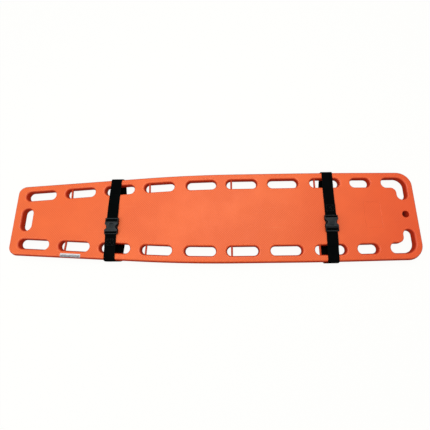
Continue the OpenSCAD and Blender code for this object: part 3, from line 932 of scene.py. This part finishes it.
    # under the end bar, round the middle bar, back under the end bar, and along the strand
    c = (ymid, zmid_bar)
    pts = [(ymid + d * 14, zs), (ymid + d * 10, zs + 0.05), (ymid + d * 6, zs + 0.5), (ymid + d * 2.5, zs + 2.0)]
    for a in np.linspace(-75, -255, 10):
        pts.append((c[0] + d * 3.4 * math.cos(math.radians(a)), c[1] + 3.4 * math.sin(math.radians(a))))
    pts += [(ymid + d * 2.6, c[1] + 2.1), (ymid + d * 4.05, c[1] - 1.4), (ymid + d * 5.6, zs + 3.4),
            (ymid + d * 9.5, zs + 2.15), (ymid + d * 14, zs + WEB_T + 0.12)]
    pts += [(ymid + d * t, zs + WEB_T + 0.12 + 0.25 * math.sin((t - 14) / 18.0) ** 2) for t in (24, 34, 44, 54, 64, 72, 76)]
    fold = smooth_path(pts, 1.2)
    xs3 = x0 + np.interp(fold[:, 0], top_y, top_x) + 0.3
    b = Build()
    sweep(b, fold, xs3, v0=total2, curl=0.08)
    o = b.make(name + "_strap_tail", MAT_WEB, uv=True)
    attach(o, name + "_release")
    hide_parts(name + "_web_fold")

    # box and cross of stitches on the sewn end
    zst = zs + WEB_T + 0.08 + WEB_T / 2 + 0.12

    def on_top(u, v):
        y = yb - d * v
        return np.array([x0 + np.interp(y, top_y, top_x) + u, y, zst])

    u, v0, v1 = 17.0, 31.0, 57.0
    segs = [((-u, v0), (u, v0)), ((u, v0), (u, v1)), ((u, v1), (-u, v1)), ((-u, v1), (-u, v0)), ((-u, v0), (u, v1)), ((u, v0), (-u, v1))]
    segs += [((-u + 2, v0 - 3), (u - 2, v0 - 3))]
    b = stitch_rows(on_top, segs)
    o = b.make(name + "_strap_stitches", MAT_THREAD)
    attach(o, name + "_strap")


for _n in STRAPS:
    make_strap(_n)


# ---------------------------------------------------------------- buckles
def slab(b, curve, rows, holes=(), caps=(True, True), wear=1.0, face=0.0):
    """A moulded slab: rows of (inset, z) from bottom to top round a closed curve, capped flat.
    holes are (curve, rows) with rows of (outset, z) from bottom to top."""
    c = ccw(np.asarray(curve, float))
    n = normals2(c)
    rings, marks = [], []
    for k, (e, z) in enumerate(rows):
        p = c - n * e
        rings.append(np.c_[p, np.full(len(p), z)])
        sharp = 0 < k < len(rows) - 1 and e > 0
        marks.append((wear if sharp else 0.0, face if k > len(rows) / 2 else 0.0))
    idx = b.rings(rings, marks)
    hb, ht = [], []
    for hc, hrows in holes:
        h = ccw(np.asarray(hc, float))
        hn = normals2(h)
        rr = [np.c_[h + hn * g, np.full(len(h), z)] for g, z in hrows]
        hi = b.rings(rr, [(0.3, 0.0)] * len(rr), flip=True)
        hb.append((hi[0], rr[0][:, :2]))
        ht.append((hi[-1], rr[-1][:, :2]))
    if caps[0]:
        b.plane((idx[0], rings[0][:, :2]), hb, rows[0][1], False, (0.0, 0.0))
    if caps[1]:
        b.plane((idx[-1], rings[-1][:, :2]), ht, rows[-1][1], True, (0.0, face))
    return idx


def edge_rows(zlo, zhi, r, n=4, top=True, bottom=True):
    rows = []
    if bottom:
        for a in np.radians(np.linspace(0, 90, n + 1)):
            rows.append((r * (1 - math.sin(a)), zlo + r * (1 - math.cos(a))))
        rows.insert(0, (r + 0.35, zlo))
    else:
        rows.append((0.0, zlo))
    if top:
        for a in np.radians(np.linspace(90, 0, n + 1)):
            rows.append((r * (1 - math.sin(a)), zhi - r * (1 - math.cos(a))))
        rows.append((r + 0.35, zhi))
    else:
        rows.append((0.0, zhi))
    return rows


def round_rect(x0, x1, y0, y1, r, n=5):
    return np.vstack([
        arc(x1 - r, y1 - r, r, 0, 90, n), arc(x0 + r, y1 - r, r, 90, 180, n),
        arc(x0 + r, y0 + r, r, 180, 270, n), arc(x1 - r, y0 + r, r, 270, 360, n),
    ])


def waist_x(y, w=12.0):
    return BW if y > -6 or y < -36 else BW - w * math.sin(math.pi * (-y - 6) / 30) ** 2


def plate_curve(w):
    ys = np.linspace(-2.2, -39.8, 48)
    right = [(BW - 2.2 + 2.2 * math.sin(a), -2.2 + 2.2 * math.cos(a)) for a in np.linspace(0, math.pi / 2, 6)]
    right += [(waist_x(y, w), y) for y in ys[1:-1]]
    right += [(BW - 2.2 + 2.2 * math.cos(a), -39.8 - 2.2 * math.sin(a)) for a in np.linspace(0, math.pi / 2, 6)]
    right = np.array(right)
    p = np.vstack([right, right[::-1] * [-1, 1]])
    return ccw(resample(p, 1.0))


def pill(b, x0, x1, y0, y1, z, h):
    """A low rounded rib on a top face."""
    c = round_rect(x0, x1, y0, y1, min(x1 - x0, y1 - y0) / 2 - 0.01, 5)
    slab(b, c, [(0.0, z - 0.3), (0.0, z + h * 0.3), (0.25, z + h * 0.8), (0.55, z + h)], caps=(False, True), face=0.8)


def place(b, S):
    """Turns a buckle piece from its own frame into the board's."""
    ang = 0.0 if S["d"] > 0 else math.pi
    c, s = math.cos(ang), math.sin(ang)
    rot = np.array([[c, -s, 0], [s, c, 0], [0, 0, 1]])
    for k in range(len(b.v)):
        b.v[k] = b.v[k] @ rot.T + [S["x"], S["mouth"], ZB]


def bar(b, y, z, r, x0, x1, wear=0.6, n=20):
    rows, marks = [], []
    for t in np.linspace(x0, x1, 15):
        e = min(t - x0, x1 - t)
        rows.append((t, r + 0.5 * max(0.0, 1 - e / 1.6) ** 2))
        marks.append((wear, 0.0))
    lathe(b, (0, y, z), (1, 0, 0), (0, 0, 1), rows, n, marks)


def make_socket(name):
    S = STRAPS[name]
    b = Build()
    pt = 2.6
    # lower plate, with only a shallow waist
    # the lower plate takes the darker copy of the plastic: painted shade
    slab(b, plate_curve(4.0), edge_rows(0.0, pt, 0.9))
    plate = plate_curve(12.0)
    # upper plate: a rolled rim, a groove inside it, and a slot over the tongue
    rows = edge_rows(BH - pt, BH, 1.2)
    rows = rows[:-1] + [(2.6, BH), (2.95, BH - 0.12), (3.2, BH - 0.45), (3.9, BH - 0.45), (4.15, BH - 0.12), (4.5, BH), (5.0, BH)]
    window = resample(round_rect(-9, 9, -7.6, -5.2, 1.19, 5), 0.8)
    slab(b, plate, rows, holes=[(window, [(0.0, BH - 1.0), (0.0, BH - 0.3), (0.3, BH)])], face=1.0)
    # floor of that slot
    slab(b, window, [(-0.05, BH - 1.3), (-0.05, BH - 0.95)], caps=(False, True))
    # ribs across the plate's waist
    for y in (-17.5, -21.0, -24.5):
        hw_ = waist_x(y) - 7.5
        pill(b, -hw_, hw_, y - 0.75, y + 0.75, BH, 0.45)
    # rear wall between the plates
    slab(b, round_rect(-BW + 0.6, BW - 0.6, -41.6, -36.2, 1.6), edge_rows(pt - 0.6, BH - pt + 0.6, 0.2, 2))
    # catches and side walls by the mouth
    for s in (-1, 1):
        c = np.array([[BW - 0.2, -0.3], [BW - 0.2, -6.2], [25.2, -7.4], [22.4, -6.4], [21.0, -0.9], [21.6, -0.3]]) * [s, 1]
        slab(b, resample(ccw(c), 0.7), edge_rows(pt - 0.6, BH - pt + 0.6, 0.15, 2))
        # cheeks where the plates come together at the rear
        c = np.array([[BW - 0.3, -36.4], [BW - 0.3, -40.6], [22.0, -40.6], [23.0, -36.0]]) * [s, 1]
        slab(b, resample(ccw(c), 0.7), edge_rows(pt - 0.6, BH - pt + 0.6, 0.15, 2))
        # lugs of the webbing bar
        x0, x1 = sorted((s * (BW - 3.2), s * BW))
        lug = round_rect(x0, x1, -53.2, -39.0, 1.3)
        slab(b, lug, edge_rows(1.0, 10.2, 1.0))
    # crosspiece over the webbing, behind the bar that it is folded round
    slab(b, resample(round_rect(-BW + 1.2, BW - 1.2, -53.2, -50.8, 0.9), 0.8), edge_rows(7.2, 10.1, 0.8), face=0.7)
    bar(b, -46.2, 4.4, 2.2, -BW + 1, BW - 1, 0.8)
    place(b, S)
    o = b.make(name + "_buckle_socket", MAT_BUCKLE, shaded_mat=MAT_BUCKLE_SHADED)
    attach(o, name + "_strap")
    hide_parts(name + "_socket")


def make_plug(name):
    S = STRAPS[name]
    b = Build()
    # cross block, lower than the socket, with a rolled edge on both sides
    # the block takes the darker copy of the plastic: painted shade
    slab(b, resample(round_rect(-BW, BW, 0.35, 5.3, 1.7), 0.8), edge_rows(0.5, BH - 2.2, 1.3))
    for x in (-13.0, 0.0, 13.0):
        pill(b, x - 4.2, x + 4.2, 2.2, 3.4, BH - 2.2, 0.35)
    # tongue with a groove and a rounded nose
    t = round_rect(-6, 6, -22, 2.0, 2.4)
    slab(b, resample(t, 0.8), edge_rows(2.95, 10.0, 0.8)[:-1] + [(1.6, 10.0), (1.9, 9.6), (2.6, 9.6)])
    for s in (-1, 1):
        x0, x1 = sorted((s * (BW - 3.1), s * BW))
        slab(b, round_rect(x0, x1, 3.5, 21.2, 1.4), edge_rows(2.0, 10.6, 1.1))
    bar(b, 10.0, 6.5, 2.2, -BW + 1, BW - 1, 0.3)
    # end bar: ribbed so that it grips
    rows, marks = [], []
    for x in np.linspace(-BW + 1, BW - 1, 101):
        rib = 0.12 * (math.sin(x * 2.6) > 0.2)
        rows.append((x, 2.5 + rib))
        marks.append((0.9 if rib else 0.2, 0.6))
    lathe(b, (0, 18.4, 5.0), (1, 0, 0), (0, 0, 1), rows, 20, marks)
    place(b, S)
    o = b.make(name + "_buckle_plug", MAT_BUCKLE, shaded_mat=MAT_BUCKLE_SHADED)
    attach(o, name + "_release")
    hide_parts(name + "_plug")


def arm_o(y):
    return 19.3 + 4.2 * math.sin(math.pi * (-y) / 42) ** 2 if y > -21 else 23.5 - 7.5 * ((-21 - y) / 14) ** 2


def arm_t(y):
    return 3.2 + 1.6 * math.sin(math.pi * (-y) / 42) ** 2


def make_arm(name, which):
    S = STRAPS[name]
    sgn = 1 if which == "a" else -1
    b = Build()
    ys = np.linspace(-1.0, -35.0, 52)
    outer = np.array([[arm_o(y), y] for y in ys])
    inner = np.array([[arm_o(y) - arm_t(y), y] for y in ys])
    neck = np.array([[16.3, -1.0], [16.3, 1.2]]), arc(17.5, 2.8, 1.7, 225, -45, 12)
    curve = np.vstack([outer, inner[::-1], neck[0], neck[1], [[18.7, -1.0]]])
    curve = resample(curve, 0.8) * [sgn, 1]
    slab(b, curve, edge_rows(2.95, 10.05, 0.45, 3))
    # grip ridges on the face that fingers press
    for y in (-17.0, -19.5, -22.0, -24.5):
        x = arm_o(y)
        c = resample(round_rect(x - 1.2, x + 0.35, y - 0.45, y + 0.45, 0.44, 4), 0.25) * [sgn, 1]
        slab(b, c, edge_rows(4.0, 9.0, 0.3, 2))
    place(b, S)
    # the arms are all in the darker copy of the plastic: painted shade
    o = b.make(name + "_buckle_arm_" + which, MAT_BUCKLE_SHADED)
    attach(o, name + "_arm_" + which)
    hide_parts(name + "_arm_" + which)


for _n in STRAPS:
    make_socket(_n)
    make_plug(_n)
    make_arm(_n, "a")
    make_arm(_n, "b")


# ---------------------------------------------------------------- floor, light, camera
def make_floor():
    me = bpy.data.meshes.new("floor")
    r = 9.0
    me.from_pydata([(-r, -r, 0), (r, -r, 0), (r, r, 0), (-r, r, 0)], [], [(0, 1, 2, 3)])
    o = bpy.data.objects.new("floor", me)
    m, nt, sh = material("pale_floor")
    sh.inputs["Base Color"].default_value = (0.045, 0.045, 0.045, 1)
    sh.inputs["Roughness"].default_value = 0.9
    sh.inputs["Specular IOR Level"].default_value = 0.1
    sh.inputs["Emission Color"].default_value = (1.0, 1.0, 0.985, 1)
    sh.inputs["Emission Strength"].default_value = FLOOR_GLOW
    me.materials.append(m)
    bpy.context.scene.collection.objects.link(o)
    o.location.z = -0.0002
    o.visible_diffuse = False
    o.visible_glossy = False


FLOOR_GLOW = 0.95
WORLD = 0.55

make_floor()

world = bpy.data.worlds.new("studio")
world.use_nodes = True
bg = world.node_tree.nodes["Background"]
bg.inputs[0].default_value = (1.0, 0.995, 0.985, 1)
_nt = world.node_tree
_up = put(_nt, "ShaderNodeSeparateXYZ", {0: put(_nt, "ShaderNodeTexCoord").outputs["Generated"]}).outputs[2]
_nt.links.new(span(_nt, _up, -0.10, 0.06, WORLD * 0.10, WORLD), bg.inputs[1])
bpy.context.scene.world = world


def area(name, loc, target, size, power, colour=(1, 1, 1)):
    ld = bpy.data.lights.new(name, "AREA")
    ld.shape = "RECTANGLE"
    ld.size, ld.size_y = size
    ld.energy = power
    ld.color = colour
    o = bpy.data.objects.new(name, ld)
    o.location = loc
    o.rotation_mode = "QUATERNION"
    o.rotation_quaternion = (Vector(target) - Vector(loc)).to_track_quat("-Z", "Y")
    bpy.context.scene.collection.objects.link(o)


area("key", (-0.14, 0.50, 2.3), (0.0, 0.0, 0.0), (1.8, 1.2), 30.0, (1.0, 0.985, 0.96))
area("fill", (-1.9, -1.1, 1.7), (0, 0, 0), (1.6, 1.2), 9.0, (0.97, 0.985, 1.0))

cam = bpy.data.cameras.new("camera")
cam.sensor_width = 36.0
cam.sensor_fit = "HORIZONTAL"
cam.lens = 36.0 * 260.0 / 430.0
cam.shift_x = (215.0 - 230.6076) / 430.0
cam.shift_y = 0.33 / 430.0
cam.clip_start, cam.clip_end = 0.05, 50.0
co = bpy.data.objects.new("camera", cam)
bpy.context.scene.collection.objects.link(co)
_r = np.array([2.90670889, -0.0191911848, -0.0204232072])
_t = np.array([-77.6899423, 6.73443156, 1189.52804])
_a = np.linalg.norm(_r)
_k = _r / _a
_K = np.array([[0, -_k[2], _k[1]], [_k[2], 0, -_k[0]], [-_k[1], _k[0], 0]])
_R = np.eye(3) + math.sin(_a) * _K + (1 - math.cos(_a)) * _K @ _K
_C = -_R.T @ _t + [0, 0, ZT]
mw = Matrix.Identity(4)
for _i in range(3):
    mw[_i][0] = _R[0][_i]
    mw[_i][1] = -_R[1][_i]
    mw[_i][2] = -_R[2][_i]
    mw[_i][3] = _C[_i] / 1000.0
co.matrix_world = mw
bpy.context.scene.camera = co

bpy.context.scene.view_settings.view_transform = "Standard"
bpy.context.scene.view_settings.look = "None"
